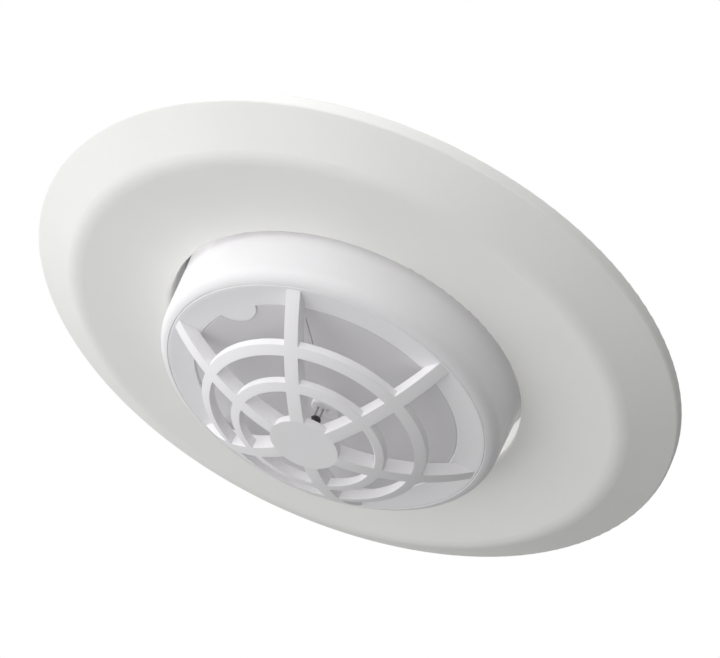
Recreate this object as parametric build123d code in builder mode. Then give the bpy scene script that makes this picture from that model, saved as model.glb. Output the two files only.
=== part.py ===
from build123d import *
from math import atan, cos, degrees, radians, sin, sqrt, tan
import os

# Point heat detector in a flush ceiling recess kit: a recess can gripped to the ceiling by three swing
# clamps, a detector base inside it, a caged detector head that twists into the base, and a trim ring
# that pulls off downwards.
# Frame: millimetres, +Z up. The origin is the centre of the opening in the plane of the visible ceiling
# (z = 0). The detector's face looks down (-Z) and one spoke of its cage points along +X.

# ---- detector head ----
head_radius = 50.0  # side of the head, taken down to the face
head_taper = 0.8  # growth of the side's radius from the face up to the rim
head_face = 26.2  # depth of the flat face below the ceiling
head_rim = 2.0  # height of the head's upper rim above the ceiling
head_round = 4.4  # rounding between side and face
cover_wall = 2.4
wall_thickening = 0.9  # extra thickness of the side wall down to the face
wall_slope = 1.8  # height over which it thickens
inner_round = 2.0  # rounding between side wall and face, inside
face_wall = 2.2
sink = 0.5  # how far a feature runs into the one that it stands on
slight_round = 0.4
face_band = 11.3  # from the side in to the round opening of the face
seam_inset = 3.2  # from the side in to the fine groove in the face
seam_width = 0.6
seam_depth = 0.45

# ---- cage ----
cage_reach = 16.8  # how far the hub stands below the face
cage_inset = 4.0  # from the side in to where the spokes run out into the face
hub_radius = 10.0
hub_thickness = 2.2
spoke_count = 6
spoke_width = 4.1
spoke_depth = 4.6
hoop_width = 2.9
hoop_radii = (31.55, 21.2)
hoop_depths = (2.9, 2.5)
cage_core = 3.5  # flat back of the cage where the spokes meet
cage_root = 0.8  # how far the spokes run into the face
cage_chamfer = 0.35

# ---- indicator lobe of the face ----
lobe_azimuth = 210.0
lobe_outset = 2.65  # its centre lies this far outside the opening's edge
lobe_radius = 7.25
lobe_overlap = 1.0  # how far the lobe's disc runs into the face

# ---- sensing plate inside the face ----
plate_setback = 0.3  # behind the face at its rim
plate_hollow = 1.4  # deeper still at its centre
plate_rim = 0.35  # bevel of its rim, which with the face's edge makes a fine groove
plate_thickness = 1.6
plate_flange = 1.2  # thickness of the plate where it lies on the face's back
plate_gap = 0.1
plate_score = 0.3  # width and depth of the fine line scored into the plate
score_azimuth = 241.7
score_start = 22.0
score_end = 34.0
plate_lip = 1.5
stake_count = 3
stake_azimuth = 45.0
stake_radius = 1.1
stake_head = 1.9  # radius of the melted head
stake_head_height = 0.9
stake_inset = 2.0  # from the plate's rim out to the stakes
plate_ear = 3.2

# ---- thermistor ----
holder_length = 8.8
holder_width = 6.2
holder_offset = 1.3
holder_reach = 6.8  # below the sensing plate's back
holder_bore = 0.45  # holes for the two leads
holder_dimple = 0.95
holder_dimple_depth = 1.6
holder_dimple_place = (2.3, -0.7)
holder_flange = 8.0
holder_flange_thickness = 1.4
holder_round = 0.8
bead_radius = 1.55
bead_height = 2.4
bead_depth = 7.7  # bead centre below the face
lead_radius = 0.28
lead_spacing = 1.5
lead_tail = 0.6  # leads beyond the board

# ---- circuit board ----
board_thickness = 1.6
board_height = 6.8  # standoffs between sensing plate and board
standoff_circle = 32.0
standoff_radius = 2.6
standoff_azimuth = 30.0
post_radius = 2.7
post_azimuth = 75.0
post_inset = 5.2  # post axes inside the cover's bore
board_margin = 1.5  # between the posts and the board's edge
chip_size = 7.0
chip_height = 1.2
chip_place = (-9, 3)
chip_chamfer = 0.2
can_capacitor_radius = 3.15
can_capacitor_height = 6.5
can_capacitor_places = ((0, -19), (9, -19))
resistor_length = 2.0
resistor_width = 1.25
resistor_height = 0.6
resistor_pitch = (3.6, 3.0)
resistor_groups = ((-6, 27, 4, 2), (14, 3, 2, 3))  # x, y, number along x, number along y
led_radius = 1.4
led_height = 2.2
pipe_radius = 1.5
pipe_inset = 1.7  # pipe axis inside the opening's edge
pipe_window = 0.7  # thinned face left in front of the light pipe
pipe_air = 0.4  # between the light pipe and the LED

# ---- head back plate and bayonet ----
back_thickness = 3.0
back_gap = 0.3
seal_height = 1.4
seal_width = 1.8
shelf_height = 1.2
plug_width = 9.4
plug_height = 5.0
plug_clearance = 2.9  # between the plug and the bore of the base
plug_air = 1.0  # between the plug's top and the base's plate
lug_half_angle = 8.0
lug_azimuth = 30.0
lug_height = 2.0
lug_rise = 2.6  # lug's underside above the back plate
lug_gap = 0.4
twist_angle = 18.0
stop_gap = 0.5
stop_angle = 3.0
small_screw_radius = 1.0
small_head_radius = 2.0
small_head_height = 1.5
small_screw_length = 11.0
small_head_sink = 1.0  # depth of the pockets for the cover screws' heads
bore_fit = 0.05
head_room = 0.3  # round and above a sunk screw head

# ---- detector base ----
base_gap = 0.6  # between the base and the ring's hole
base_wall = 2.2
base_plate = 3.0
base_lift = 0.5  # between the head's rim and the base's skirt
ledge_height = 1.7
wiring_hole = 14.0
terminal_circle = 30.0
terminal_length = 9.0
terminal_width = 8.0
terminal_height = 2.0
clamp_plate = 0.9
terminal_margin = 0.6  # block beyond the clamping plate, both sides together
terminal_corner = 1.0
terminal_azimuth = 45.0
terminal_screw_radius = 1.25
terminal_head_radius = 2.8
terminal_head_height = 1.6
screw_slot = 0.8  # width and depth of the slots in the base's screws
screw_cross = 1.0  # depth of the base screws' cross recess
contact_circle = 20.0
contact_width = 5.0
leaf_thickness = 0.5
leaf_reach = 3.0  # from the contact point to the leaf's fold
leaf_rise = 1.3  # of the leaf's ends above the contact point
leaf_round = 0.8
contact_pad = 0.4
contact_air = 0.35
contact_pad_half_angle = 7.0
contact_pad_margin = 0.5  # pad beyond the leaf's width
pin_tail = 1.0  # pins beyond the board's underside
pin_radius = 0.8
fixing_circle = 40.0
fixing_radius = 1.75
fixing_head_radius = 3.4
fixing_head_height = 1.5
fixing_tip = 1.0  # free bore beyond the base screws

# ---- trim ring ----
ring_radius = 95.0
ring_lip = 3.4
ring_face = 11.7  # depth of its flat face below the ceiling
ring_bevel = 14.2  # width of the bevel between the flat face and the edge
ring_wall = 2.2
ring_gap = 1.3  # between the head's rim and the ring's hole
ring_collar_top = 1.0  # collar's top edge above the ceiling
ring_crease_round = 9.0
ring_edge_round = 0.9
web_count = 6
web_thickness = 1.6
web_height = 4.0
boss_circle_gap = 8.7  # boss axes outside the collar
boss_radius = 4.0
boss_height = 3.5
clip_count = 3
clip_azimuth = 30.0
clip_width = 8.0
clip_thickness = 0.6
clip_rise = 14.0
clip_gap = 0.5
clip_bow = 1.2  # how far its foot and tip stand in from its widest point
clip_knee = 0.68  # height of that point, as a share of the rise
clip_round = 1.0
clip_screw_tip = 0.4  # free bore beyond its screw
clip_screw_radius = 1.1
clip_head_radius = 2.9
clip_head_height = 1.7

# ---- recess can ----
can_clearance = 4.2  # between the ring's collar and the can
can_wall = 2.0
can_height = 20.0
can_top = 2.0
flange_thickness = 1.6
flange_overlap = 5.5
gasket_height = 0.8
gasket_width = 3.2
gasket_inset = 1.1
gasket_gap = 0.15
pillar_radius = 4.5
entry_radius = 9.5
entry_offset = 20.0
grommet_lip = 2.6
grommet_lip_height = 1.8
grommet_bore = 4.0
grommet_nose = 1.0  # wall of the grommet where the cable leaves it
grommet_nose_height = 3.24
grommet_slope = 0.8
strap_hole_radius = 2.3
strap_hole_offset = 30.0

# ---- ceiling clamps ----
ceiling_thickness = 12.5
clamp_count = 3
clamp_azimuth = 90.0
clamp_standoff = 6.5  # clamp screw axis outside the can's wall
clamp_boss_height = 8.0
clamp_boss_wall = 2.0
clamp_screw_radius = 2.0
clamp_head_radius = 3.8
clamp_head_height = 2.6
clamp_slot = 1.0
clamp_slot_depth = 1.6
clamp_slot_share = 1.4  # length of the cross recess, as a share of the head's radius
clamp_tip = 0.5  # chamfer of the tip, and screw beyond the raised dog
dog_round = 1.5
dog_half_width = 4.0
dog_length = 11.5
dog_height = 5.0
dog_travel = 6.0
dog_margin = 0.6  # free room round a stowed dog in the ceiling's hole

# ---- derived sizes ----
head_top_radius = head_radius + head_taper
cover_bore = head_top_radius - cover_wall
opening_radius = head_radius - face_band
face_back = -head_face + face_wall
lobe_circle = opening_radius + lobe_outset

cage_foot = head_radius - cage_inset
cage_tip = head_face + cage_reach
dome_height = (cage_foot**2 - hub_radius**2 + head_face**2 - cage_tip**2) / (2 * cage_reach)
dome_radius = sqrt(hub_radius**2 + (dome_height + cage_tip) ** 2)

post_circle = cover_bore - post_inset
board_radius = post_circle - post_radius - board_margin
plate_front = -head_face + plate_setback
plate_back = face_back + plate_flange
board_bottom = plate_back + board_height
board_top = board_bottom + board_thickness
pipe_circle = opening_radius - pipe_inset
lead_x = lead_spacing / 2

back_bottom = head_rim - back_thickness
shelf_top = back_bottom - seal_height
plug_top = head_rim + plug_height
ring_hole = head_top_radius + ring_gap
base_radius = ring_hole - base_gap
base_bore = base_radius - base_wall
plug_radius = base_bore - plug_clearance
base_bottom = head_rim + base_lift
lug_bottom = head_rim + lug_rise
ledge_bore = plug_radius + lug_gap
plate_under = plug_top + plug_air
base_top = plate_under + base_plate
pad_top = head_rim + contact_pad
terminal_bottom = plate_under - terminal_height
clamp_bottom = terminal_bottom - clamp_plate

collar_radius = ring_hole + ring_wall
ring_crease = ring_radius - ring_bevel
ring_floor = -ring_face + ring_wall
bevel_angle = degrees(atan((ring_face - ring_lip) / (ring_radius - ring_crease)))
inner_crease = ring_crease - ring_wall * tan(radians(bevel_angle / 2))
lip_bore = ring_radius - ring_wall
lip_inner = ring_floor + (lip_bore - inner_crease) * tan(radians(bevel_angle))
boss_circle = collar_radius + boss_circle_gap
boss_top = ring_floor + boss_height

can_bore = collar_radius + can_clearance
can_radius = can_bore + can_wall
clamp_circle = can_radius + clamp_standoff
hole_radius = sqrt((clamp_circle + dog_half_width) ** 2 + dog_length**2) + dog_margin
flange_radius = hole_radius + flange_overlap
gasket_outer = flange_radius - gasket_inset
can_ceiling = can_height - can_top
clamp_screw_top = ceiling_thickness + dog_height + dog_travel + clamp_tip
base_screw_seat = plate_under + fixing_head_height + head_room


def polar(radius, azimuth):
    return (radius * cos(radians(azimuth)), radius * sin(radians(azimuth)))


def upright(azimuth):
    """Vertical plane through the axis: x points outwards at this azimuth and y points up."""
    outwards = (cos(radians(azimuth)), sin(radians(azimuth)), 0)
    return Plane(origin=(0, 0, 0), x_dir=outwards, z_dir=(outwards[1], -outwards[0], 0))


def section(outline, azimuth=0.0):
    """Closed outline of (radius, height) corners; a third number is the rounding of that corner."""
    with BuildSketch(upright(azimuth)) as face:
        with BuildLine():
            Polyline(*[corner[:2] for corner in outline], close=True)
        make_face()
        for radius, height, *rounding in outline:
            if rounding:
                fillet(face.vertices().sort_by_distance((radius, height))[0], rounding[0])
    return face.sketch


def sector(height, inner, outer, start, end):
    """Flat piece of a ring between two azimuths."""
    with BuildSketch(Plane.XY.offset(height)) as face:
        with BuildLine():
            inside = CenterArc((0, 0), inner, start, end - start)
            outside = CenterArc((0, 0), outer, start, end - start)
            Line(inside @ 0, outside @ 0)
            Line(inside @ 1, outside @ 1)
        make_face()
    return face.sketch


def rounds(height, radius, circle, count, azimuth):
    """Equal discs spread on a circle."""
    with BuildSketch(Plane.XY.offset(height)) as face:
        with PolarLocations(circle, count, start_angle=azimuth):
            Circle(radius)
    return face.sketch


def dome(radius, lift=0.0):
    """Height of the cage's spherical front at this radius."""
    return dome_height + lift - sqrt(dome_radius**2 - radius**2)


def save(node, name):
    node.part.label = name
    export_step(node.part, f"parts/{name}.step")


os.makedirs("parts", exist_ok=True)


# ---- head cover: side wall, face, cage and posts in one moulding ----
spoke_floor = face_back - cage_root
foot_lift = sqrt(dome_radius**2 - (dome_height + spoke_depth - spoke_floor) ** 2)

with BuildPart() as head_cover:
    with BuildSketch(Plane.XY.offset(-cage_tip - 2)):
        with PolarLocations(0, spoke_count // 2, angular_range=180):
            Rectangle(2 * cage_foot, spoke_width)
    extrude(amount=cage_tip)
    with BuildSketch(Plane.XZ) as shell:
        with BuildLine():
            Line((0, -cage_tip), (hub_radius, -cage_tip))
            middle = (hub_radius + cage_foot) / 2
            ThreePointArc((hub_radius, -cage_tip), (middle, dome(middle)), (cage_foot, -head_face))
            Line((cage_foot, -head_face), (cage_foot, spoke_floor))
            Line((cage_foot, spoke_floor), (foot_lift, spoke_floor))
            half = (foot_lift + cage_core) / 2
            core_back = dome(cage_core, spoke_depth)
            ThreePointArc((foot_lift, spoke_floor), (half, dome(half, spoke_depth)), (cage_core, core_back))
            Line((cage_core, core_back), (0, core_back))
            Line((0, core_back), (0, -cage_tip))
        make_face()
    revolve(axis=Axis.Z, mode=Mode.INTERSECT)
    for hoop_radius, hoop_depth in zip(hoop_radii, hoop_depths):
        inner = hoop_radius - hoop_width / 2
        outer = hoop_radius + hoop_width / 2
        hoop_back = dome(hoop_radius) + hoop_depth
        with BuildSketch(Plane.XZ):
            with BuildLine():
                ThreePointArc((inner, dome(inner)), (hoop_radius, dome(hoop_radius)), (outer, dome(outer)))
                Line((outer, dome(outer)), (outer, hoop_back))
                Line((outer, hoop_back), (inner, hoop_back))
                Line((inner, hoop_back), (inner, dome(inner)))
            make_face()
        revolve(axis=Axis.Z)
    with BuildSketch(Plane.XY.offset(-cage_tip)):
        Circle(hub_radius)
    extrude(amount=hub_thickness)
    front = head_cover.faces().filter_by(GeomType.SPHERE).sort_by(Axis.Z)[0]
    chamfer(front.edges(), cage_chamfer)

    wall_foot = cover_bore - wall_thickening
    revolve(
        section(
            [
                (opening_radius, -head_face, 0.25),
                (head_radius, -head_face, head_round),
                (head_top_radius, head_rim, slight_round),
                (cover_bore, head_rim),
                (cover_bore, shelf_top),
                (cover_bore - seal_width - back_gap, shelf_top),
                (cover_bore - seal_width - back_gap, shelf_top - shelf_height),
                (cover_bore, shelf_top - shelf_height),
                (wall_foot, shelf_top - shelf_height - wall_slope),
                (wall_foot, face_back, inner_round),
                (opening_radius, face_back),
            ]
        ),
        axis=Axis.Z,
    )
    with BuildSketch(Plane.XY.offset(-head_face)):
        with Locations(polar(lobe_circle, lobe_azimuth)):
            Circle(lobe_radius)
        Circle(opening_radius + lobe_overlap, mode=Mode.INTERSECT)
    extrude(amount=face_wall)
    extrude(
        rounds(face_back - sink, post_radius, post_circle, 3, post_azimuth),
        amount=back_bottom - face_back + sink,
    )
    stake_circle = opening_radius + plate_lip + stake_inset
    extrude(
        rounds(face_back - sink, stake_radius, stake_circle, stake_count, stake_azimuth),
        amount=plate_back - face_back + stake_head_height + sink,
    )
    extrude(
        rounds(plate_back, stake_head, stake_circle, stake_count, stake_azimuth),
        amount=stake_head_height,
    )
    seam_radius = head_radius - seam_inset
    revolve(
        section(
            [
                (seam_radius - seam_width / 2, -head_face - 1),
                (seam_radius + seam_width / 2, -head_face - 1),
                (seam_radius + seam_width / 2, -head_face),
                (seam_radius, -head_face + seam_depth),
                (seam_radius - seam_width / 2, -head_face),
            ]
        ),
        axis=Axis.Z,
        mode=Mode.SUBTRACT,
    )
    extrude(
        rounds(back_bottom, small_screw_radius + bore_fit, post_circle, 3, post_azimuth),
        amount=-small_screw_length,
        mode=Mode.SUBTRACT,
    )
    extrude(
        rounds(face_back, pipe_radius + bore_fit, pipe_circle, 1, lobe_azimuth),
        amount=-(face_wall - pipe_window),
        mode=Mode.SUBTRACT,
    )
save(head_cover, "head_cover")

# ---- sensing plate: the shallow dish seen through the cage ----
with BuildPart() as sensing_plate:
    revolve(
        section(
            [
                (0, plate_front + plate_hollow),
                (opening_radius - plate_gap - plate_rim, plate_front),
                (opening_radius - plate_gap, plate_front + plate_rim),
                (opening_radius - plate_gap, face_back),
                (opening_radius + plate_lip, face_back),
                (opening_radius + plate_lip, plate_back),
                (0, plate_back),
            ]
        ),
        axis=Axis.Z,
    )
    extrude(
        rounds(face_back, plate_ear, stake_circle, stake_count, stake_azimuth),
        amount=plate_back - face_back,
    )
    extrude(rounds(plate_back, standoff_radius, standoff_circle, 3, standoff_azimuth), amount=board_height)
    with BuildSketch(Plane.XY.offset(face_back)):
        with Locations(polar(lobe_circle, lobe_azimuth)):
            Circle(lobe_radius + plate_gap)
    extrude(amount=-face_wall, mode=Mode.SUBTRACT)
    with BuildSketch(Plane.XY.offset(plate_front)):
        with Locations(polar(lobe_circle, lobe_azimuth)):
            Circle(lobe_radius + plate_gap + plate_rim)
    extrude(amount=plate_rim, taper=45, mode=Mode.SUBTRACT)
    with BuildSketch(Plane.XY.offset(-head_face)):
        with PolarLocations((score_start + score_end) / 2, 1, start_angle=score_azimuth):
            Rectangle(score_end - score_start, plate_score)
    extrude(amount=plate_setback + 0.5 * plate_hollow + plate_score, mode=Mode.SUBTRACT)
    extrude(
        rounds(plate_back, pipe_radius + bore_fit, pipe_circle, 1, lobe_azimuth),
        amount=-plate_thickness,
        mode=Mode.SUBTRACT,
    )
    extrude(
        rounds(plate_back, stake_radius + bore_fit, stake_circle, stake_count, stake_azimuth),
        amount=-plate_thickness,
        mode=Mode.SUBTRACT,
    )
    extrude(
        rounds(board_bottom, small_screw_radius + bore_fit, standoff_circle, 3, standoff_azimuth),
        amount=-board_height,
        mode=Mode.SUBTRACT,
    )
    with BuildSketch(Plane.XY.offset(plate_back)):
        with Locations((holder_offset, 0)):
            SlotOverall(holder_length + 2 * bore_fit, holder_width + 2 * bore_fit)
    extrude(amount=-2 * plate_thickness, mode=Mode.SUBTRACT)
save(sensing_plate, "sensing_plate")

# ---- thermistor holder: oblong turret that guards the thermistor's leads ----
with BuildPart() as thermistor_holder:
    with BuildSketch(Plane.XY.offset(plate_back)):
        Circle(holder_flange)
    extrude(amount=holder_flange_thickness)
    with BuildSketch(Plane.XY.offset(plate_back)):
        with Locations((holder_offset, 0)):
            SlotOverall(holder_length, holder_width)
    extrude(amount=-holder_reach)
    turret_rim = thermistor_holder.faces().sort_by(Axis.Z)[0]
    fillet(turret_rim.edges(), holder_round)
    with BuildSketch(Plane.XY.offset(plate_back + holder_flange_thickness)):
        with Locations((-lead_x, 0), (lead_x, 0)):
            Circle(holder_bore)
    extrude(amount=-holder_reach - holder_flange_thickness, mode=Mode.SUBTRACT)
    with BuildSketch(Plane.XY.offset(plate_back - holder_reach)):
        with Locations(holder_dimple_place):
            Circle(holder_dimple)
    extrude(amount=holder_dimple_depth, mode=Mode.SUBTRACT)
save(thermistor_holder, "thermistor_holder")

# ---- thermistor bead and its two leads ----
bead_centre = -head_face - bead_depth
with BuildPart() as thermistor_bead:
    with BuildSketch(Plane.XY.offset(bead_centre - bead_height / 2)):
        Circle(bead_radius)
    extrude(amount=bead_height)
    fillet(thermistor_bead.edges(), 0.45 * bead_height)
    with BuildSketch(Plane.XY.offset(bead_centre + bead_height / 2)):
        with Locations((-lead_x, 0), (lead_x, 0)):
            Circle(lead_radius)
    extrude(amount=-bead_height / 3, mode=Mode.SUBTRACT)
save(thermistor_bead, "thermistor_bead")

with BuildPart() as thermistor_leads:
    with BuildSketch(Plane.XY.offset(bead_centre + bead_height / 6)):
        with Locations((-lead_x, 0), (lead_x, 0)):
            Circle(lead_radius)
    extrude(amount=board_top + lead_tail - bead_centre - bead_height / 6)
save(thermistor_leads, "thermistor_leads")

# ---- circuit board and what it carries ----
with BuildPart() as circuit_board:
    with BuildSketch(Plane.XY.offset(board_bottom)):
        Circle(board_radius)
        with Locations((-lead_x, 0), (lead_x, 0)):
            Circle(lead_radius + bore_fit, mode=Mode.SUBTRACT)
        with PolarLocations(standoff_circle, 3, start_angle=standoff_azimuth):
            Circle(small_screw_radius + bore_fit, mode=Mode.SUBTRACT)
        with PolarLocations(contact_circle, 4, start_angle=terminal_azimuth):
            Circle(pin_radius + bore_fit, mode=Mode.SUBTRACT)
    extrude(amount=board_thickness)
save(circuit_board, "circuit_board")

with BuildPart() as microcontroller:
    with BuildSketch(Plane.XY.offset(board_top)):
        with Locations(chip_place):
            Rectangle(chip_size, chip_size)
    extrude(amount=chip_height)
    chamfer(microcontroller.faces().sort_by(Axis.Z)[-1].edges(), chip_chamfer)
save(microcontroller, "microcontroller")

with BuildPart() as capacitors:
    with BuildSketch(Plane.XY.offset(board_top)):
        with Locations(*can_capacitor_places):
            Circle(can_capacitor_radius)
    extrude(amount=can_capacitor_height)
    fillet(capacitors.faces().sort_by(Axis.Z)[-2:].edges(), 0.5)
save(capacitors, "capacitors")

with BuildPart() as resistors:
    with BuildSketch(Plane.XY.offset(board_top)):
        for x, y, along, across in resistor_groups:
            with Locations((x, y)):
                with GridLocations(*resistor_pitch, along, across):
                    Rectangle(resistor_length, resistor_width)
    extrude(amount=resistor_height)
save(resistors, "resistors")

with BuildPart() as indicator_led:
    extrude(rounds(board_bottom, led_radius, pipe_circle, 1, lobe_azimuth), amount=-led_height)
    fillet(indicator_led.faces().sort_by(Axis.Z)[0].edges(), 0.8 * led_radius)
save(indicator_led, "indicator_led")

with BuildPart() as light_pipe:
    pipe_top = board_bottom - led_height - pipe_air
    pipe_bottom = -head_face + pipe_window
    extrude(rounds(pipe_bottom, pipe_radius, pipe_circle, 1, lobe_azimuth), amount=pipe_top - pipe_bottom)
    chamfer(light_pipe.faces().sort_by(Axis.Z)[-1].edges(), 0.3)
save(light_pipe, "light_pipe")

with BuildPart() as board_screws:
    extrude(
        rounds(board_top, small_screw_radius, standoff_circle, 3, standoff_azimuth),
        amount=-board_height + 0.5,
    )
    extrude(
        rounds(board_top, small_head_radius, standoff_circle, 3, standoff_azimuth),
        amount=small_head_height,
    )
    fillet(board_screws.faces().sort_by(Axis.Z)[-3:].edges(), 0.5)
save(board_screws, "board_screws")

# ---- seal, back plate with bayonet lugs, and the head's contacts ----
with BuildPart() as head_seal:
    seal_outer = cover_bore - back_gap
    revolve(
        section(
            [
                (seal_outer - seal_width, shelf_top, 0.3),
                (seal_outer, shelf_top, 0.3),
                (seal_outer, back_bottom, 0.3),
                (seal_outer - seal_width, back_bottom, 0.3),
            ]
        ),
        axis=Axis.Z,
    )
save(head_seal, "head_seal")

with BuildPart() as head_backplate:
    revolve(
        section(
            [
                (0, back_bottom),
                (cover_bore - back_gap, back_bottom),
                (cover_bore - back_gap, head_rim),
                (plug_radius, head_rim),
                (plug_radius, plug_top, 0.5),
                (plug_radius - plug_width, plug_top, 0.5),
                (plug_radius - plug_width, head_rim, 0.8),
                (0, head_rim),
            ]
        ),
        axis=Axis.Z,
    )
    for k in range(3):
        middle = lug_azimuth + 120 * k
        start = middle - lug_half_angle
        lug = sector(lug_bottom, plug_radius - sink, base_bore - lug_gap, start, middle + lug_half_angle)
        extrude(lug, amount=lug_height)
    extrude(
        rounds(plug_top, small_head_radius + head_room, post_circle, 3, post_azimuth),
        amount=-plug_height - small_head_sink,
        mode=Mode.SUBTRACT,
    )
    extrude(
        rounds(plug_top, small_screw_radius + bore_fit, post_circle, 3, post_azimuth),
        amount=-plug_height - back_thickness,
        mode=Mode.SUBTRACT,
    )
    extrude(
        rounds(head_rim, pin_radius + bore_fit, contact_circle, 4, terminal_azimuth),
        amount=-back_thickness,
        mode=Mode.SUBTRACT,
    )
save(head_backplate, "head_backplate")

with BuildPart() as cover_screws:
    screw_seat = head_rim - small_head_sink
    extrude(
        rounds(screw_seat, small_screw_radius, post_circle, 3, post_azimuth),
        amount=-small_screw_length,
    )
    extrude(rounds(screw_seat, small_head_radius, post_circle, 3, post_azimuth), amount=small_head_height)
    fillet(cover_screws.faces().sort_by(Axis.Z)[-3:].edges(), 0.5)
save(cover_screws, "cover_screws")

with BuildPart() as contact_pads:
    for k in range(4):
        middle = terminal_azimuth + 90 * k
        pad = sector(
            head_rim,
            contact_circle - contact_width / 2 - contact_pad_margin,
            contact_circle + contact_width / 2 + contact_pad_margin,
            middle - contact_pad_half_angle,
            middle + contact_pad_half_angle,
        )
        extrude(pad, amount=contact_pad)
save(contact_pads, "contact_pads")

with BuildPart() as contact_pins:
    extrude(
        rounds(board_bottom - pin_tail, pin_radius, contact_circle, 4, terminal_azimuth),
        amount=head_rim - board_bottom + pin_tail,
    )
save(contact_pins, "contact_pins")

# ---- detector base with bayonet ledges, terminals and spring contacts ----
with BuildPart() as detector_base:
    revolve(
        section(
            [
                (wiring_hole, plate_under),
                (base_bore, plate_under),
                (base_bore, base_bottom),
                (base_radius, base_bottom, 0.5),
                (base_radius, base_top, 1.0),
                (wiring_hole, base_top),
            ]
        ),
        axis=Axis.Z,
    )
    for k in range(3):
        middle = lug_azimuth + 120 * k
        locked = middle + lug_half_angle + stop_gap
        opened = middle - twist_angle - lug_half_angle - stop_gap
        ledge = sector(base_bottom, ledge_bore, base_bore + sink, middle - lug_half_angle, locked)
        extrude(ledge, amount=ledge_height)
        closed_stop = sector(base_bottom, ledge_bore, base_bore + sink, locked, locked + stop_angle)
        extrude(closed_stop, amount=plate_under - base_bottom)
        open_stop = sector(base_bottom, ledge_bore, base_bore + sink, opened - stop_angle, opened)
        extrude(open_stop, amount=plate_under - base_bottom)
    with BuildSketch(Plane.XY.offset(plate_under)):
        with PolarLocations(fixing_circle, 3):
            Circle(fixing_head_radius + head_room)
    extrude(amount=fixing_head_height + head_room, mode=Mode.SUBTRACT)
    with BuildSketch(Plane.XY.offset(plate_under)):
        with PolarLocations(fixing_circle, 3):
            Circle(fixing_radius + bore_fit)
        with PolarLocations(terminal_circle, 4, start_angle=terminal_azimuth):
            Circle(terminal_screw_radius + bore_fit)
    extrude(amount=base_plate, mode=Mode.SUBTRACT)
save(detector_base, "detector_base")

with BuildPart() as base_screws:
    base_screw_length = can_ceiling - fixing_tip - base_screw_seat
    extrude(rounds(base_screw_seat, fixing_radius, fixing_circle, 3, 0), amount=base_screw_length)
    extrude(rounds(base_screw_seat, fixing_head_radius, fixing_circle, 3, 0), amount=-fixing_head_height)
    fillet(base_screws.faces().sort_by(Axis.Z)[:3].edges(), 0.6)
    with BuildSketch(Plane.XY.offset(base_screw_seat - fixing_head_height)):
        with PolarLocations(fixing_circle, 3):
            Rectangle(fixing_head_radius, screw_slot)
            Rectangle(screw_slot, fixing_head_radius)
    extrude(amount=screw_cross, mode=Mode.SUBTRACT)
save(base_screws, "base_screws")

with BuildPart() as terminal_blocks:
    with BuildSketch(Plane.XY.offset(terminal_bottom)):
        with PolarLocations(terminal_circle, 4, start_angle=terminal_azimuth):
            Rectangle(terminal_length, terminal_width)
            Circle(terminal_screw_radius + bore_fit, mode=Mode.SUBTRACT)
    extrude(amount=terminal_height)
save(terminal_blocks, "terminal_blocks")

with BuildPart() as terminal_plates:
    with BuildSketch(Plane.XY.offset(clamp_bottom)):
        with PolarLocations(terminal_circle, 4, start_angle=terminal_azimuth):
            RectangleRounded(
                terminal_length - terminal_margin, terminal_width - terminal_margin, terminal_corner
            )
            Circle(terminal_screw_radius + bore_fit, mode=Mode.SUBTRACT)
    extrude(amount=clamp_plate)
save(terminal_plates, "terminal_plates")

with BuildPart() as terminal_screws:
    extrude(
        rounds(clamp_bottom, terminal_screw_radius, terminal_circle, 4, terminal_azimuth),
        amount=base_top - clamp_bottom,
    )
    extrude(
        rounds(clamp_bottom, terminal_head_radius, terminal_circle, 4, terminal_azimuth),
        amount=-terminal_head_height,
    )
    fillet(terminal_screws.faces().sort_by(Axis.Z)[:4].edges(), 0.5)
    with BuildSketch(Plane.XY.offset(clamp_bottom - terminal_head_height)):
        with PolarLocations(terminal_circle, 4, start_angle=terminal_azimuth):
            Rectangle(2 * terminal_head_radius, screw_slot)
    extrude(amount=screw_slot, mode=Mode.SUBTRACT)
save(terminal_screws, "terminal_screws")

with BuildPart() as spring_contacts:
    leaf_top = plate_under - leaf_thickness / 2
    leaf_tip = pad_top + contact_air + leaf_thickness / 2
    leaf_fold = contact_circle - leaf_reach
    for k in range(4):
        with BuildSketch(upright(terminal_azimuth + 90 * k)):
            with BuildLine() as leaf:
                FilletPolyline(
                    (terminal_circle - terminal_length / 2, leaf_top),
                    (leaf_fold - leaf_round / 2, leaf_top),
                    (leaf_fold, leaf_tip + leaf_rise),
                    (contact_circle + leaf_round / 2, leaf_tip),
                    (contact_circle + leaf_reach - leaf_round, leaf_tip + leaf_rise),
                    radius=leaf_round,
                )
            trace(line_width=leaf_thickness)
        extrude(amount=contact_width / 2, both=True)
save(spring_contacts, "spring_contacts")

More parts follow.
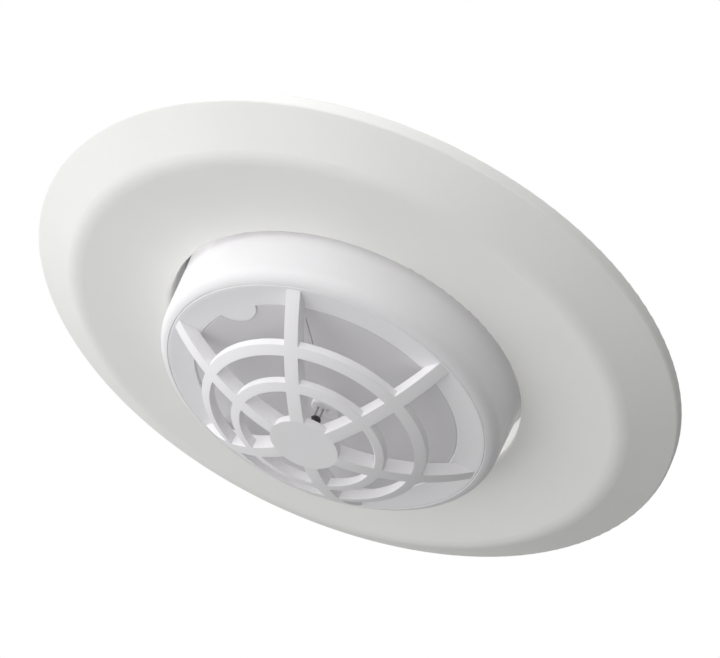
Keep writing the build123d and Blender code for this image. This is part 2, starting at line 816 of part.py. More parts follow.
# ---- trim ring with its spring clips ----
with BuildPart() as trim_ring:
    revolve(
        section(
            [
                (ring_radius, 0, slight_round),
                (ring_radius, -ring_lip, ring_edge_round),
                (ring_crease, -ring_face, ring_crease_round),
                (ring_hole, -ring_face, ring_edge_round),
                (ring_hole, ring_collar_top, slight_round),
                (collar_radius, ring_collar_top, slight_round),
                (collar_radius, ring_floor),
                (inner_crease, ring_floor),
                (lip_bore, lip_inner),
                (lip_bore, 0),
            ]
        ),
        axis=Axis.Z,
    )
    for k in range(web_count):
        web = [
            (collar_radius - sink, ring_floor - sink),
            (collar_radius - sink, ring_floor + web_height),
            (inner_crease, ring_floor + web_height),
            (inner_crease + web_height / tan(radians(bevel_angle)) + sink, ring_floor + web_height),
            (inner_crease, ring_floor - sink),
        ]
        extrude(section(web, 360 / web_count * k), amount=web_thickness / 2, both=True)
    extrude(
        rounds(ring_floor - sink, boss_radius, boss_circle, clip_count, clip_azimuth),
        amount=boss_height + sink,
    )
    extrude(
        rounds(boss_top, clip_screw_radius + bore_fit, boss_circle, clip_count, clip_azimuth),
        amount=-boss_height,
        mode=Mode.SUBTRACT,
    )
save(trim_ring, "trim_ring")

with BuildPart() as trim_clips:
    clip_face = can_bore - clip_gap - clip_thickness / 2
    clip_foot = boss_top + clip_thickness / 2
    for k in range(clip_count):
        azimuth = clip_azimuth + 360 / clip_count * k
        with BuildSketch(upright(azimuth)):
            with BuildLine():
                FilletPolyline(
                    (boss_circle + boss_radius, clip_foot),
                    (clip_face - clip_bow, clip_foot),
                    (clip_face, clip_foot + clip_knee * clip_rise),
                    (clip_face - clip_bow, clip_foot + clip_rise),
                    radius=clip_round,
                )
            trace(line_width=clip_thickness)
        extrude(amount=clip_width / 2, both=True)
    with BuildSketch(Plane.XY.offset(boss_top)):
        with PolarLocations(boss_circle, clip_count, start_angle=clip_azimuth):
            Circle(clip_screw_radius + bore_fit)
    extrude(amount=clip_thickness, mode=Mode.SUBTRACT)
save(trim_clips, "trim_clips")

with BuildPart() as trim_clip_screws:
    screw_under = boss_top + clip_thickness
    extrude(
        rounds(screw_under, clip_screw_radius, boss_circle, clip_count, clip_azimuth),
        amount=-boss_height - clip_thickness + clip_screw_tip,
    )
    extrude(
        rounds(screw_under, clip_head_radius, boss_circle, clip_count, clip_azimuth),
        amount=clip_head_height,
    )
    fillet(trim_clip_screws.faces().sort_by(Axis.Z)[-clip_count:].edges(), 0.6)
save(trim_clip_screws, "trim_clip_screws")

# ---- recess can, its gasket and its cable grommet ----
with BuildPart() as recess_can:
    revolve(
        section(
            [
                (can_bore, -flange_thickness, 0.5),
                (flange_radius, -flange_thickness, 0.5),
                (flange_radius, 0),
                (gasket_outer + gasket_gap, 0),
                (gasket_outer + gasket_gap, -gasket_height),
                (gasket_outer - gasket_width - gasket_gap, -gasket_height),
                (gasket_outer - gasket_width - gasket_gap, 0),
                (can_radius, 0, 1.0),
                (can_radius, can_height, 2.0),
                (0, can_height),
                (0, can_ceiling),
                (can_bore, can_ceiling, 1.0),
            ]
        ),
        axis=Axis.Z,
    )
    extrude(rounds(base_top, pillar_radius, fixing_circle, 3, 0), amount=can_ceiling - base_top + sink)
    clamp_boss = clamp_screw_radius + clamp_boss_wall
    extrude(
        rounds(-sink, clamp_boss, clamp_circle, clamp_count, clamp_azimuth),
        amount=clamp_boss_height + sink,
    )
    for k in range(clamp_count):
        gusset = [
            (can_radius - sink, -sink),
            (clamp_circle, -sink),
            (clamp_circle, clamp_boss_height),
            (can_radius - sink, clamp_boss_height),
        ]
        extrude(section(gusset, clamp_azimuth + 360 / clamp_count * k), amount=clamp_boss_wall / 2, both=True)
    extrude(
        rounds(-flange_thickness, clamp_screw_radius + bore_fit, clamp_circle, clamp_count, clamp_azimuth),
        amount=flange_thickness + clamp_boss_height,
        mode=Mode.SUBTRACT,
    )
    extrude(
        rounds(base_top, fixing_radius + bore_fit, fixing_circle, 3, 0),
        amount=can_ceiling - base_top,
        mode=Mode.SUBTRACT,
    )
    with BuildSketch(Plane.XY.offset(can_ceiling)):
        with Locations((0, entry_offset)):
            Circle(entry_radius)
        with Locations((-strap_hole_offset, 0), (strap_hole_offset, 0)):
            Circle(strap_hole_radius)
    extrude(amount=can_top, mode=Mode.SUBTRACT)
save(recess_can, "recess_can")

with BuildPart() as ceiling_gasket:
    with BuildSketch(Plane.XY.offset(-gasket_height)):
        Circle(gasket_outer)
        Circle(gasket_outer - gasket_width, mode=Mode.SUBTRACT)
    extrude(amount=gasket_height)
save(ceiling_gasket, "ceiling_gasket")

with BuildPart() as cable_grommet:
    with BuildSketch(Plane.YZ):
        with BuildLine():
            Polyline(
                (entry_offset + grommet_bore, can_ceiling - grommet_lip_height),
                (entry_offset + entry_radius + grommet_lip, can_ceiling - grommet_lip_height),
                (entry_offset + entry_radius + grommet_lip, can_ceiling),
                (entry_offset + entry_radius - bore_fit, can_ceiling),
                (entry_offset + entry_radius - bore_fit, can_height),
                (entry_offset + entry_radius + grommet_lip, can_height),
                (entry_offset + entry_radius + grommet_lip - grommet_slope, can_height + grommet_lip_height),
                (entry_offset + grommet_bore + grommet_nose, can_height + grommet_nose_height),
                (entry_offset + grommet_bore, can_height + grommet_nose_height),
                close=True,
            )
        make_face()
    revolve(axis=Axis((0, entry_offset, 0), (0, 0, 1)))
save(cable_grommet, "cable_grommet")

# ---- ceiling clamps: each screw turns its dog outwards, then draws it down on the ceiling board ----
for k in range(clamp_count):
    azimuth = clamp_azimuth + 360 / clamp_count * k
    axis_point = polar(clamp_circle, azimuth)
    facing = (cos(radians(azimuth)), sin(radians(azimuth)), 0)

    with BuildPart() as clamp_screw:
        with BuildSketch(Plane(origin=(*axis_point, -flange_thickness), x_dir=facing, z_dir=(0, 0, 1))):
            Circle(clamp_screw_radius)
        extrude(amount=clamp_screw_top + flange_thickness)
        with BuildSketch(Plane(origin=(*axis_point, -flange_thickness), x_dir=facing, z_dir=(0, 0, -1))):
            Circle(clamp_head_radius)
        extrude(amount=clamp_head_height)
        fillet(clamp_screw.faces().sort_by(Axis.Z)[0].edges(), 0.8)
        chamfer(clamp_screw.faces().sort_by(Axis.Z)[-1].edges(), clamp_tip)
        head_plane = Plane(
            origin=(*axis_point, -flange_thickness - clamp_head_height), x_dir=facing, z_dir=(0, 0, 1)
        )
        with BuildSketch(head_plane):
            Rectangle(clamp_slot_share * clamp_head_radius, clamp_slot)
            Rectangle(clamp_slot, clamp_slot_share * clamp_head_radius)
        extrude(amount=clamp_slot_depth, mode=Mode.SUBTRACT)
    save(clamp_screw, f"clamp_screw_{k + 1}")

    with BuildPart() as clamp_dog:
        with BuildSketch(Plane(origin=(*axis_point, ceiling_thickness), x_dir=facing, z_dir=(0, 0, 1))):
            Circle(dog_half_width)
            with Locations((dog_length / 2, 0)):
                Rectangle(dog_length, 2 * dog_half_width)
        extrude(amount=dog_height)
        tip = clamp_dog.faces().sort_by(Axis((0, 0, 0), facing))[-1]
        fillet(tip.edges().filter_by(Axis.Z), dog_round)
        with BuildSketch(Plane(origin=(*axis_point, ceiling_thickness), x_dir=facing, z_dir=(0, 0, 1))):
            Circle(clamp_screw_radius + bore_fit)
        extrude(amount=dog_height, mode=Mode.SUBTRACT)
    save(clamp_dog, f"clamp_dog_{k + 1}")

print("hole in the ceiling, diameter", round(2 * hole_radius, 1))
print("clamp circle", round(clamp_circle, 2), "clamp screw top", round(clamp_screw_top, 2))
print("cage dome radius", round(dome_radius, 2))
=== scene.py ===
"""Looks of a recessed ceiling heat detector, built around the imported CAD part.

Metres, +Z up, the ceiling's face at z = 0 and the detector looking down. The camera stands below it.
The CAD nodes stay, under procedural materials. The threaded clamp screws, the ribbed clamp dogs, their
nuts, and the ribs and hoops of the recess can are made here as meshes.
"""

from math import cos, pi, radians, sin, tau

import bmesh
import bpy
from mathutils import Matrix, Vector


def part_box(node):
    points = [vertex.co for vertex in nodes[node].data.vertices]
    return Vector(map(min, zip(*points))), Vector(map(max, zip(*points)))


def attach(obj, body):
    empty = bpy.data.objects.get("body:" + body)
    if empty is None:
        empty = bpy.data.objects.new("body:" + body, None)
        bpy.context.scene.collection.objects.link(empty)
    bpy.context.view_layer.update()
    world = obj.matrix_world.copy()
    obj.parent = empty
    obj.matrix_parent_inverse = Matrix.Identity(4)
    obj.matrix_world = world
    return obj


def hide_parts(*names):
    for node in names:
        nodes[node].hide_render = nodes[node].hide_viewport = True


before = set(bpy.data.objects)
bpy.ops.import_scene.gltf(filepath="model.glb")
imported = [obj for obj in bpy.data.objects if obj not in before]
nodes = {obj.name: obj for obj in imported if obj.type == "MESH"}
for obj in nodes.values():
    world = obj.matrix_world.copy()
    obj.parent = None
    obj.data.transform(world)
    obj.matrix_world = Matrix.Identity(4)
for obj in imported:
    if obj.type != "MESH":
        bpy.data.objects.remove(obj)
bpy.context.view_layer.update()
scene = bpy.context.scene
MM = 0.001

# ---- camera ----
CAMERA_AZIMUTH = -93.97  # where the camera stands round the axis, in degrees from +X
CAMERA_ELEVATION = -35.07
CAMERA_ROLL = 24.98
CAMERA_DISTANCE = 1.437
LENS = 257.4
SENSOR = 36.0
AIM = Vector((0.0005, -0.0002, 0.0002))

# ---- light ----
KEY_AZIMUTH = -169.0  # where the bright side of the studio lies
KEY_ELEVATION = 6.0
BRIGHT = 0.77  # level of the studio's bright side
DIM = 0.0  # and of the side opposite it
FILLS = (  # wide soft lights without shadows: azimuth, elevation, level
    (-172.0, 6.0, 2.36),
    (25.0, -12.0, 0.5),
)
FILL_SPREAD = radians(150)
FLOOR_DEPTH = 3.0
FLOOR_REACH = 30.0

# ---- clamps, as the CAD has them ----
CLAMP_CIRCLE = 67.0 * MM
CLAMP_AZIMUTHS = (90, 210, 330)
HEAD_HEIGHT = 2.6 * MM
HEAD_PROFILE = [  # radius, and height above the screw's lowest point
    (radius * MM, rise * MM)
    for radius, rise in ((2.9, 0), (3.35, 0.12), (3.65, 0.4), (3.8, 0.9), (3.8, 2.4), (3.65, 2.6))
]
RECESS_WIDTH = 1.0 * MM
RECESS_REACH = 2.4 * MM
RECESS_DEPTH = 1.7 * MM
RECESS_TAPER = 0.8  # width of its arms at the bottom, as a share of that at the mouth
RECESS_NARROWING = 0.55  # and their reach
RECESS_ROOM = 0.1 * MM  # how far its cutter stands out
THREAD_RADIUS = 2.0 * MM
THREAD_PITCH = 0.7 * MM
THREAD_DEPTH = 0.36 * MM
THREAD_CREST = 1.15  # more than 1 flattens the thread's crests
THREAD_ROWS = 8  # rows of the mesh in one turn
BORE_ROOM = 0.06 * MM
DOG_WIDTH = 8.0 * MM
DOG_LENGTH = 11.5 * MM
DOG_HEIGHT = 5.0 * MM
DOG_CORNER = 1.5 * MM
DOG_EDGE = 0.4 * MM
DOG_STEPS = (  # share of the outline at each height
    (0.95, 0.0),
    (1.0, DOG_EDGE),
    (0.985, DOG_HEIGHT - DOG_EDGE),
    (0.94, DOG_HEIGHT),
)
DOG_SEGMENTS = 16
DOG_RIB = 1.8 * MM
DOG_WALL = 0.9 * MM
DOG_TROUGH = 2.4 * MM
TEETH = 5
TOOTH = 1.1 * MM  # from tooth to tooth
TOOTH_START = 0.6 * MM
TOOTH_MOUTH = 0.9  # width of a groove, as a share of that
TOOTH_ROOT = 0.4  # and the place of its deepest line
TOOTH_FLAT = 0.02 * MM
TOOTH_ROOM = 0.01 * MM
CUT_ROOM = 1.0 * MM  # how far the other cutters stand out
NUT_SIZE = 6.4 * MM
NUT_HEIGHT = 2.6 * MM
NUT_ROOM = 0.1 * MM
NUT_STEPS = (  # share of the square at each height
    (0.94, 0.0),
    (1.0, 0.25 * MM),
    (1.0, NUT_HEIGHT - 0.45 * MM),
    (0.94, NUT_HEIGHT - 0.2 * MM),
)
NUT_BORE = (  # radius at each height
    (2.5 * MM, -0.1 * MM),
    (2.05 * MM, 0.35 * MM),
    (2.05 * MM, NUT_HEIGHT - 0.6 * MM),
    (2.5 * MM, NUT_HEIGHT + 0.1 * MM),
)

# ---- ribs and hoops of the recess can ----
CAN_RADIUS = 60.5 * MM
CAN_RIBS = 24
RIB_WIDTH = 1.4 * MM
RIB_HEIGHT = 0.8 * MM
RIB_SINK = 0.3 * MM  # how far the ribs run into the can
RIB_SLIM = 0.7  # width of a rib's crest, as a share of its foot's
RIB_RUNOUT = 0.3  # height at its tip, as a share of its height
RIB_STEP = 0.4  # upright part of the top's ribs, as a share of their height
RIB_FOOT = 0.5 * MM  # lower ends of the wall's ribs above the ceiling
RIB_END = 4.5 * MM  # where they start to run out, below the can's top
RIB_TIP = 2.8 * MM  # and where they end
TOP_HOOPS = (38.0 * MM, 55.0 * MM)
RING_SEGMENTS = 128
SEGMENTS = 48
SHARP = radians(35)  # edges sharper than this stay sharp


def toward(azimuth, elevation):
    """Unit vector from the object towards that direction."""
    a, e = radians(azimuth), radians(elevation)
    return Vector((cos(a) * cos(e), sin(a) * cos(e), sin(e)))


# ---- materials ----
class Finish:
    """A material and short calls that build its node tree."""

    def __init__(self, name):
        self.material = bpy.data.materials.new(name)
        self.material.use_nodes = True
        self.tree = self.material.node_tree
        self.shader = self.tree.nodes["Principled BSDF"]
        self.place = self.add("ShaderNodeTexCoord").outputs["Object"]

    def add(self, kind, settings=None, **inputs):
        """A new node; each keyword is an input's name with _ for a space."""
        node = self.tree.nodes.new(kind)
        for key, value in (settings or {}).items():
            setattr(node, key, value)
        for key, value in inputs.items():
            self.feed(node, key, value)
        return node

    def feed(self, node, key, value):
        """Links another node's output to the input, or sets its value."""
        socket = node.inputs[key.replace("_", " ")]
        if isinstance(value, bpy.types.NodeSocket):
            self.tree.links.new(value, socket)
        else:
            socket.default_value = value

    def shade(self, **inputs):
        for key, value in inputs.items():
            self.feed(self.shader, key, value)

    def noise(self, size, detail=2.0, stretch=(1, 1, 1)):
        """Cloudy pattern whose features are about this many metres across."""
        spot = self.add("ShaderNodeMapping", Vector=self.place, Scale=stretch).outputs["Vector"]
        return self.add("ShaderNodeTexNoise", Vector=spot, Scale=1 / size, Detail=detail).outputs["Fac"]

    def cells(self, size):
        """Distance to the nearest of scattered points, about this many metres apart."""
        return self.add("ShaderNodeTexVoronoi", Vector=self.place, Scale=1 / size).outputs["Distance"]

    def spread(self, value, low, high):
        """The middle of a pattern's range, stretched from low to high."""
        middle = {"From_Min": 0.3, "From_Max": 0.7}
        return self.add("ShaderNodeMapRange", Value=value, To_Min=low, To_Max=high, **middle).outputs["Result"]

    def tones(self, value, *stops):
        """Colour along a pattern, from (place, colour) stops."""
        ramp = self.add("ShaderNodeValToRGB", Fac=value)
        elements = ramp.color_ramp.elements
        while len(elements) < len(stops):
            elements.new(0.5)
        for element, (place, colour) in zip(elements, stops):
            element.position = place
            element.color = (*colour, 1)
        return ramp.outputs["Color"]

    def relief(self, height, depth, normal=None):
        """Bump of this many metres, on top of another one."""
        bump = self.add("ShaderNodeBump", Height=height, Distance=depth)
        if normal:
            self.feed(bump, "Normal", normal)
        return bump.outputs["Normal"]

    def soft_edges(self, radius):
        """Normals that round the moulded edges a little."""
        return self.add("ShaderNodeBevel", {"samples": 4}, Radius=radius).outputs["Normal"]


def shaded(colour, share):
    return tuple(channel * share for channel in colour)


def moulded(name, colour, roughness, grain=0.3 * MM, depth=0.006 * MM):
    """Satin injection-moulded plastic: spark-eroded grain, faint flow marks, slight glow from within."""
    made = Finish(name)
    flow = made.noise(28 * MM, 3.0)
    speck = made.noise(1.6 * MM, 2.0)
    cast = made.tones(flow, (0.3, shaded(colour, 0.975)), (0.7, colour))
    gloss = made.spread(made.noise(9 * MM, 4.0), roughness - 0.05, roughness + 0.06)
    waviness = made.relief(flow, 0.05 * MM, made.soft_edges(0.25 * MM))
    skin = made.relief(made.noise(grain, 2.0), depth, made.relief(speck, 1.5 * depth, waviness))
    made.shade(Base_Color=cast, Roughness=gloss, Normal=skin)
    made.shade(Subsurface_Weight=0.15, Subsurface_Radius=(1.0, 0.9, 0.8), Subsurface_Scale=2.5 * MM)
    made.shade(Specular_IOR_Level=0.4)
    return made.material


def metal(name, colour, roughness, brushed=(1, 1, 1), grain=0.6 * MM):
    """Bare or plated metal with fine marks along one direction and clouded plating."""
    made = Finish(name)
    cloud = made.noise(3 * MM, 3.0)
    marks = made.noise(grain, 4.0, brushed)
    tint = made.tones(cloud, (0.35, shaded(colour, 0.82)), (0.65, colour))
    gloss = made.spread(marks, roughness - 0.08, roughness + 0.12)
    made.shade(Base_Color=tint, Metallic=1.0, Roughness=gloss, Normal=made.relief(marks, 0.01 * MM))
    return made.material


def rubber(name, colour):
    """Matt rubber with a fine bloom."""
    made = Finish(name)
    bloom = made.noise(4 * MM, 4.0)
    dust = made.tones(bloom, (0.4, colour), (0.75, tuple(min(1, c + 0.05) for c in colour)))
    skin = made.relief(made.noise(0.5 * MM, 3.0), 0.02 * MM)
    made.shade(Base_Color=dust, Roughness=made.spread(bloom, 0.62, 0.8), Normal=skin, Sheen_Weight=0.15)
    return made.material


def foam(name, colour):
    """Closed-cell gasket foam."""
    made = Finish(name)
    pores = made.cells(0.7 * MM)
    walls = made.tones(pores, (0.1, shaded(colour, 0.6)), (0.5, colour))
    made.shade(Base_Color=walls, Roughness=0.9, Normal=made.relief(pores, 0.12 * MM))
    return made.material


def filled_nylon(name, colour):
    """Glass-filled nylon: dark, with short pale fibres near the skin."""
    made = Finish(name)
    fibres = made.noise(0.5 * MM, 5.0, (1, 6, 2))
    tint = made.tones(fibres, (0.55, colour), (0.8, tuple(c + 0.05 for c in colour)))
    gloss = made.spread(fibres, 0.38, 0.56)
    skin = made.relief(fibres, 0.015 * MM, made.soft_edges(0.25 * MM))
    made.shade(Base_Color=tint, Roughness=gloss, Normal=skin)
    return made.material


def epoxy(name, colour):
    """Dipped epoxy bead: glossy, slightly lumpy."""
    made = Finish(name)
    lumps = made.noise(0.9 * MM, 2.0)
    tint = made.tones(lumps, (0.3, shaded(colour, 0.6)), (0.7, colour))
    made.shade(Base_Color=tint, Roughness=made.spread(lumps, 0.16, 0.3), Normal=made.relief(lumps, 0.08 * MM))
    made.shade(Coat_Weight=0.5, Coat_Roughness=0.08)
    return made.material


def solder_mask(name):
    """Green circuit board with tracks showing through its mask."""
    made = Finish(name)
    bricks = {"Mortar_Size": 0.035, "Brick_Width": 0.9, "Row_Height": 0.22}
    tracks = made.add("ShaderNodeTexBrick", Vector=made.place, Scale=1 / (9 * MM), **bricks)
    green, copper = (0.01, 0.13, 0.05), (0.05, 0.25, 0.08)
    made.feed(tracks, "Color1", (*green, 1))
    made.feed(tracks, "Color2", (*shaded(green, 0.85), 1))
    made.feed(tracks, "Mortar", (*copper, 1))
    raised = made.relief(tracks.outputs["Fac"], 0.03 * MM)
    made.shade(Base_Color=tracks.outputs["Color"], Roughness=0.35, Normal=raised, Coat_Weight=0.3)
    return made.material


def clear(name, colour, roughness):
    """Clear or tinted plastic that light passes through."""
    made = Finish(name)
    haze = made.noise(1.2 * MM, 2.0)
    tint = made.tones(haze, (0.3, shaded(colour, 0.9)), (0.7, colour))
    made.shade(Base_Color=tint, Roughness=made.spread(haze, roughness, roughness + 0.08))
    made.shade(Transmission_Weight=0.8, IOR=1.49)
    return made.material


TRIM_WHITE = (0.91, 0.91, 0.89)
HEAD_WHITE = (0.86, 0.85, 0.865)
# The sensing plate's colour is partly its own greyer white and partly painted shade. It is darkened to stand
# in for the shade of the cage and the recess, which the shadowless fills leave out.
PLATE_WHITE_AND_SHADE = (0.68, 0.67, 0.685)
HOLDER_WHITE = (0.80, 0.79, 0.80)
ZINC = (0.72, 0.73, 0.75)

finishes = {
    moulded("trim_white", TRIM_WHITE, 0.46): ["trim_ring"],
    moulded("cover_white", HEAD_WHITE, 0.40): ["head_cover"],
    moulded("plate_white", PLATE_WHITE_AND_SHADE, 0.5): ["sensing_plate"],
    moulded("holder_white", HOLDER_WHITE, 0.4): ["thermistor_holder"],
    moulded("base_white", (0.90, 0.90, 0.88), 0.5, 0.4 * MM): ["head_backplate", "detector_base"],
    moulded("can_grey", (0.68, 0.69, 0.70), 0.55, 0.6 * MM, 0.02 * MM): ["recess_can"],
    epoxy("bead_black", (0.012, 0.012, 0.013)): ["thermistor_bead"],
    metal("lead_tin", (0.5, 0.5, 0.52), 0.3, (1, 1, 0.1), 0.1 * MM): ["thermistor_leads"],
    metal("plated_steel", ZINC, 0.34): ["board_screws", "cover_screws", "base_screws", "trim_clip_screws"],
    metal("terminal_steel", ZINC, 0.4, (1, 5, 1)): ["terminal_plates", "terminal_screws"],
    metal("spring_steel", (0.62, 0.63, 0.65), 0.28, (1, 1, 0.15)): ["trim_clips", "spring_contacts"],
    metal("brass", (0.72, 0.55, 0.25), 0.3): ["contact_pads", "contact_pins", "terminal_blocks"],
    metal("aluminium", (0.8, 0.8, 0.81), 0.35, (1, 1, 4)): ["capacitors"],
    rubber("seal_grey", (0.22, 0.22, 0.23)): ["head_seal"],
    rubber("grommet_black", (0.025, 0.025, 0.027)): ["cable_grommet"],
    foam("gasket_grey", (0.16, 0.16, 0.17)): ["ceiling_gasket"],
    solder_mask("board_green"): ["circuit_board"],
    filled_nylon("chip_black", (0.015, 0.015, 0.016)): ["microcontroller", "resistors"],
    clear("led_red", (0.8, 0.05, 0.04), 0.15): ["indicator_led"],
    clear("pipe_clear", (0.9, 0.9, 0.92), 0.05): ["light_pipe"],
}
for material, names in finishes.items():
    for name in names:
        nodes[name].data.materials.clear()
        nodes[name].data.materials.append(material)


# ---- pieces ----
def shape(name, build, material):
    """A mesh object from a function that fills a bmesh."""
    mesh = bpy.data.meshes.new(name)
    form = bmesh.new()
    build(form)
    bmesh.ops.recalc_face_normals(form, faces=form.faces)
    form.to_mesh(mesh)
    form.free()
    mesh.materials.append(material)
    made = bpy.data.objects.new(name, mesh)
    scene.collection.objects.link(made)
    return made


def carve(made, build):
    """Cuts the closed forms that build makes out of the object."""
    cutter = shape("cutter", build, made.data.materials[0])
    modifier = made.modifiers.new("cut", "BOOLEAN")
    modifier.object = cutter
    modifier.solver = "EXACT"
    bpy.context.view_layer.update()
    cut = bpy.data.meshes.new_from_object(made.evaluated_get(bpy.context.evaluated_depsgraph_get()))
    made.modifiers.clear()
    made.data = cut
    bpy.data.objects.remove(cutter)


def piece(made, body, replaces=None):
    """Finishes an object's shading and lets it ride on a body."""
    made.data.shade_smooth()
    made.data.set_sharp_from_angle(angle=SHARP)
    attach(made, body)
    if replaces:
        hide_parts(replaces)


def join(form, rows):
    """Faces between rings of equally many vertices."""
    for low, high in zip(rows, rows[1:]):
        for k in range(len(low)):
            after = (k + 1) % len(low)
            form.faces.new((low[k], low[after], high[after], high[k]))


def stack(form, rings):
    """Closed form through rings of equally many points, with a flat face at each end."""
    rows = [[form.verts.new(point) for point in ring] for ring in rings]
    join(form, rows)
    form.faces.new(rows[0])
    form.faces.new(rows[-1])


def circle(centre, radius, height, segments=SEGMENTS):
    """Points round a vertical axis."""
    turn = [tau * k / segments for k in range(segments)]
    return [Vector((centre.x + radius * cos(t), centre.y + radius * sin(t), height)) for t in turn]


def outline(centre, azimuth, corners, height):
    """Corners given as (outwards, across) from a point, at this azimuth and height."""
    turn = Matrix.Rotation(radians(azimuth), 3, "Z")
    return [centre + turn @ Vector((x, y, 0)) + Vector((0, 0, height)) for x, y in corners]


def prism(form, centre, azimuth, *steps):
    """Closed form through outlines given as (corners, height)."""
    stack(form, [outline(centre, azimuth, corners, height) for corners, height in steps])


def boxed(start, end, width):
    """Corners of a rectangle that reaches from start to end outwards."""
    return [(start, -width / 2), (end, -width / 2), (end, width / 2), (start, width / 2)]


def scaled(corners, share):
    return [(x * share, y * share) for x, y in corners]


def crossed(half, reach):
    """Corners of a cross whose arms reach this far from its middle."""
    arm = [(reach, -half), (reach, half), (half, half)]
    return [corner for k in range(4) for corner in (quarter(x, y, k) for x, y in arm)]


def quarter(x, y, turns):
    """A point turned by quarter turns."""
    for _ in range(turns):
        x, y = -y, x
    return x, y


def thread_ring(centre, height, turns, full):
    """Points round a thread that has made this many turns."""
    ring = []
    for k in range(SEGMENTS):
        phase = (turns - k / SEGMENTS) % 1.0
        crest = min(1.0, THREAD_CREST * abs(2 * phase - 1)) * full
        radius = THREAD_RADIUS - THREAD_DEPTH * (1 - crest) - THREAD_DEPTH * (1 - full)
        angle = tau * k / SEGMENTS
        ring.append(Vector((centre.x + radius * cos(angle), centre.y + radius * sin(angle), height)))
    return ring


def add_screw(number, azimuth):
    """Threaded clamp screw with a pan head and a cross recess."""
    node = f"clamp_screw_{number}"
    centre = CLAMP_CIRCLE * toward(azimuth, 0)
    low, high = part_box(node)
    seat = low.z + HEAD_HEIGHT

    def body(form):
        rings = [circle(centre, radius, low.z + rise) for radius, rise in HEAD_PROFILE]
        rings.append(circle(centre, THREAD_RADIUS - THREAD_DEPTH, seat))
        rows = int((high.z - seat) / THREAD_PITCH * THREAD_ROWS)
        for row in range(1, rows + 1):
            z = seat + (high.z - seat) * row / rows
            full = min(1.0, (rows - row) / THREAD_ROWS)  # less than 1 where the screw runs to its point
            rings.append(thread_ring(centre, z, (z - seat) / THREAD_PITCH, full))
        stack(form, rings)

    def recess(form):
        mouth = crossed(RECESS_WIDTH / 2, RECESS_REACH)
        floor = crossed(RECESS_TAPER * RECESS_WIDTH / 2, RECESS_NARROWING * RECESS_REACH)
        prism(form, centre, azimuth, (mouth, low.z - RECESS_ROOM), (floor, low.z + RECESS_DEPTH))

    screw = shape(f"clamp_bolt_{number}", body, steel)
    carve(screw, recess)
    piece(screw, f"clamp_turn_{number}", node)


def add_dog(number, azimuth):
    """Moulded clamp dog with a rib, a serrated underside and a pocket for its square nut."""
    node = f"clamp_dog_{number}"
    centre = CLAMP_CIRCLE * toward(azimuth, 0)
    low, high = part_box(node)
    nut_floor = low.z + DOG_HEIGHT - NUT_HEIGHT
    half = DOG_WIDTH / 2
    turns = [pi / 2 + pi * k / DOG_SEGMENTS for k in range(DOG_SEGMENTS + 1)]
    back = [(half * cos(t), half * sin(t)) for t in turns]
    tip = [(DOG_LENGTH - DOG_CORNER, -half), (DOG_LENGTH, DOG_CORNER - half)]
    sides = [*back, *tip, *[(x, -y) for x, y in reversed(tip)]]
    pocket_reach = NUT_SIZE / 2 + NUT_ROOM

    def body(form):
        steps = [(scaled(sides, share), low.z + rise) for share, rise in DOG_STEPS]
        prism(form, centre, azimuth, *steps)

    def cuts(form):
        ends = (low.z - CUT_ROOM, low.z + DOG_HEIGHT + CUT_ROOM)
        stack(form, [circle(centre, THREAD_RADIUS + BORE_ROOM, z) for z in ends])
        pocket = boxed(-pocket_reach, pocket_reach, 2 * pocket_reach)
        prism(form, centre, azimuth, (pocket, nut_floor), (pocket, high.z + CUT_ROOM))

    def troughs(form):
        start, end = pocket_reach + DOG_WALL, DOG_LENGTH - DOG_WALL
        near, far = DOG_RIB / 2, half - DOG_WALL
        for side in (-1, 1):
            trough = [(start, side * near), (end, side * near), (end, side * far), (start, side * far)]
            prism(form, centre, azimuth, (trough, high.z - DOG_TROUGH), (trough, high.z + CUT_ROOM))
        for k in range(TEETH):
            x = DOG_LENGTH - TOOTH_START - k * TOOTH
            deepest = x - TOOTH_ROOT * TOOTH
            mouth = boxed(x - TOOTH_MOUTH * TOOTH, x, DOG_WIDTH + 2 * CUT_ROOM)
            root = boxed(deepest - TOOTH_FLAT, deepest, DOG_WIDTH + 2 * CUT_ROOM)
            prism(form, centre, azimuth, (mouth, low.z - TOOTH_ROOM), (root, low.z + TOOTH / 2))

    def nut_body(form):
        square = boxed(-NUT_SIZE / 2, NUT_SIZE / 2, NUT_SIZE)
        steps = [(scaled(square, share), nut_floor + rise) for share, rise in NUT_STEPS]
        prism(form, centre, azimuth, *steps)

    def nut_bore(form):
        stack(form, [circle(centre, radius, nut_floor + rise) for radius, rise in NUT_BORE])

    dog = shape(f"clamp_arm_{number}", body, nylon)
    carve(dog, cuts)
    carve(dog, troughs)
    piece(dog, f"clamp_grip_{number}", node)
    nut = shape(f"clamp_nut_{number}", nut_body, steel)
    carve(nut, nut_bore)
    piece(nut, f"clamp_grip_{number}")


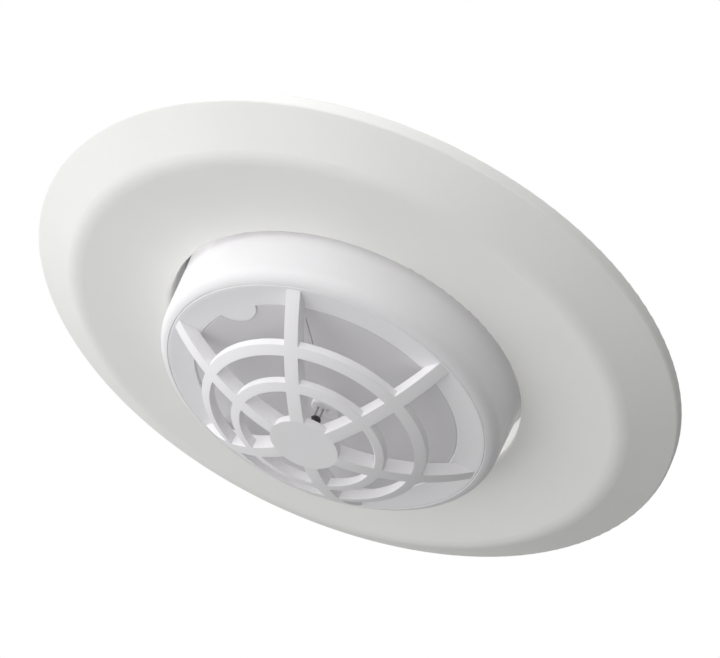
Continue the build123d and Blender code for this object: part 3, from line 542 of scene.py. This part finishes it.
def add_can_ribs():
    """Ribs down the can's wall, and ribs and hoops on its top."""
    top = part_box("recess_can")[1].z

    def ribs(form):
        foot = CAN_RADIUS - RIB_SINK
        wall = boxed(foot, CAN_RADIUS + RIB_HEIGHT, RIB_WIDTH)
        slim = boxed(foot, CAN_RADIUS + RIB_RUNOUT * RIB_HEIGHT, RIB_SLIM * RIB_WIDTH)
        web = boxed(*TOP_HOOPS, RIB_WIDTH)
        crest = boxed(TOP_HOOPS[0] + RIB_HEIGHT, TOP_HOOPS[1] - RIB_HEIGHT, RIB_SLIM * RIB_WIDTH)
        for k in range(CAN_RIBS):
            azimuth = 360 * (k + 0.5) / CAN_RIBS
            prism(form, Vector(), azimuth, (wall, RIB_FOOT), (wall, top - RIB_END), (slim, top - RIB_TIP))
            steps = ((web, top - RIB_SINK), (web, top + RIB_STEP * RIB_HEIGHT), (crest, top + RIB_HEIGHT))
            prism(form, Vector(), azimuth, *steps)

    def hoops(form):
        for radius in TOP_HOOPS:
            profile = (
                (radius - RIB_WIDTH / 2, top - RIB_SINK),
                (radius - RIB_SLIM * RIB_WIDTH / 2, top + RIB_HEIGHT),
                (radius + RIB_SLIM * RIB_WIDTH / 2, top + RIB_HEIGHT),
                (radius + RIB_WIDTH / 2, top - RIB_SINK),
            )
            rings = [circle(Vector(), reach, height, RING_SEGMENTS) for reach, height in profile]
            rows = [[form.verts.new(point) for point in ring] for ring in rings]
            join(form, [*rows, rows[0]])

    for name, build in (("can_ribs", ribs), ("can_hoops", hoops)):
        piece(shape(name, build, can_plastic), "mounting")


steel = bpy.data.materials["plated_steel"]
can_plastic = bpy.data.materials["can_grey"]
nylon = filled_nylon("dog_black", (0.02, 0.02, 0.021))


# ---- view, light and floor ----
def add_camera():
    data = bpy.data.cameras.new("camera")
    data.lens = LENS
    data.sensor_width = SENSOR
    data.clip_start = 0.1
    data.clip_end = 20.0
    camera = bpy.data.objects.new("camera", data)
    scene.collection.objects.link(camera)
    away = toward(CAMERA_AZIMUTH, CAMERA_ELEVATION)
    turn = (-away).to_track_quat("-Z", "Y").to_matrix() @ Matrix.Rotation(radians(CAMERA_ROLL), 3, "Z")
    camera.matrix_world = Matrix.Translation(AIM + away * CAMERA_DISTANCE) @ turn.to_4x4()
    scene.camera = camera


def add_studio():
    """A white room that is brighter on one side; the camera sees plain white behind the object."""
    world = bpy.data.worlds.new("studio")
    world.use_nodes = True
    tree = world.node_tree
    new, link = tree.nodes.new, tree.links.new
    direction = new("ShaderNodeTexCoord")
    along = new("ShaderNodeVectorMath")
    along.operation = "DOT_PRODUCT"
    along.inputs[1].default_value = toward(KEY_AZIMUTH, KEY_ELEVATION)
    link(direction.outputs["Generated"], along.inputs[0])
    level = new("ShaderNodeMapRange")
    level.inputs["From Min"].default_value = -1.0
    level.inputs["To Min"].default_value = DIM
    level.inputs["To Max"].default_value = BRIGHT
    link(along.outputs["Value"], level.inputs["Value"])
    seen = new("ShaderNodeLightPath")
    choice = new("ShaderNodeMix")
    choice.inputs["B"].default_value = 1.0
    link(seen.outputs["Is Camera Ray"], choice.inputs["Factor"])
    link(level.outputs["Result"], choice.inputs["A"])
    background = tree.nodes["Background"]
    background.inputs["Color"].default_value = (1, 1, 1, 1)
    link(choice.outputs["Result"], background.inputs["Strength"])
    scene.world = world
    scene.view_settings.view_transform = "Standard"


def add_fills():
    for azimuth, elevation, level in FILLS:
        data = bpy.data.lights.new("fill", "SUN")
        data.angle = FILL_SPREAD
        data.energy = level
        data.use_shadow = False
        fill = bpy.data.objects.new("fill", data)
        fill.rotation_euler = toward(azimuth, elevation).to_track_quat("Z", "Y").to_euler()
        scene.collection.objects.link(fill)


def add_floor():
    mesh = bpy.data.meshes.new("floor")
    form = bmesh.new()
    bmesh.ops.create_grid(form, x_segments=1, y_segments=1, size=FLOOR_REACH)
    bmesh.ops.translate(form, verts=form.verts, vec=(0, 0, -FLOOR_DEPTH))
    form.to_mesh(mesh)
    form.free()
    made = Finish("floor_pale")
    cast = made.tones(made.noise(0.4, 3.0), (0.3, (0.8, 0.8, 0.8)), (0.7, (0.84, 0.84, 0.84)))
    made.shade(Base_Color=cast, Roughness=0.9)
    mesh.materials.append(made.material)
    floor = bpy.data.objects.new("floor", mesh)
    floor.visible_diffuse = False  # so that the studio alone lights the underside
    floor.visible_glossy = False
    floor.visible_shadow = False
    scene.collection.objects.link(floor)


add_camera()
add_studio()
add_fills()
add_floor()

for number, azimuth in enumerate(CLAMP_AZIMUTHS, 1):
    add_screw(number, azimuth)
    add_dog(number, azimuth)
add_can_ribs()
